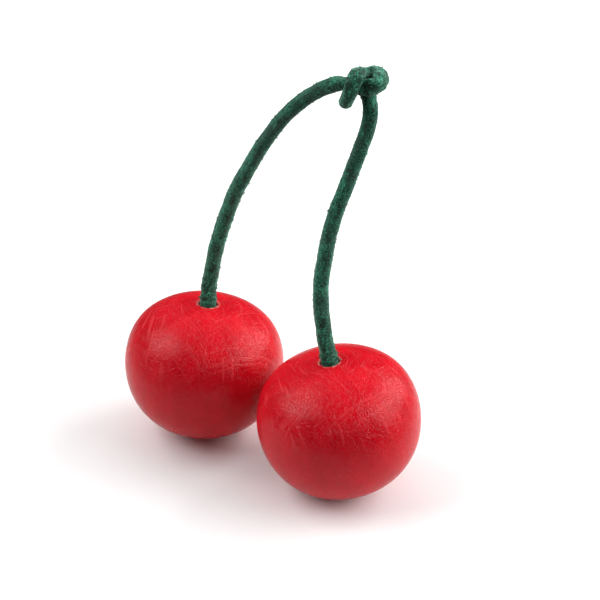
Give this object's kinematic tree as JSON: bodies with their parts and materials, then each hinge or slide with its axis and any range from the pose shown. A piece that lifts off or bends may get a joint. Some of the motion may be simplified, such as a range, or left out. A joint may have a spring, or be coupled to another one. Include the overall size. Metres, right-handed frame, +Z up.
{
  "type": "wooden toy cherry pair",
  "caption": "Turned red wooden toy cherries that stand on sanded flats, on green leather cord stalks knotted together at the top.",
  "frame": {"origin": "middle of the object's box, on the surface it stands on", "axes": "+Z up; +X to the right and +Y to the back, seen with the right fruit in front of the left one"},
  "size_m": [0.0478, 0.0423, 0.0713],
  "materials": {
    "stained_wood": "cherry red stain under satin lacquer",
    "dyed_leather": "dark green suede-like cord, matt and slightly hairy"
  },
  "bodies": {
    "root": {"right_cherry": "stained_wood", "left_cherry": "stained_wood", "right_stalk": "dyed_leather", "left_stalk": "dyed_leather"}
  },
  "joints": []
}
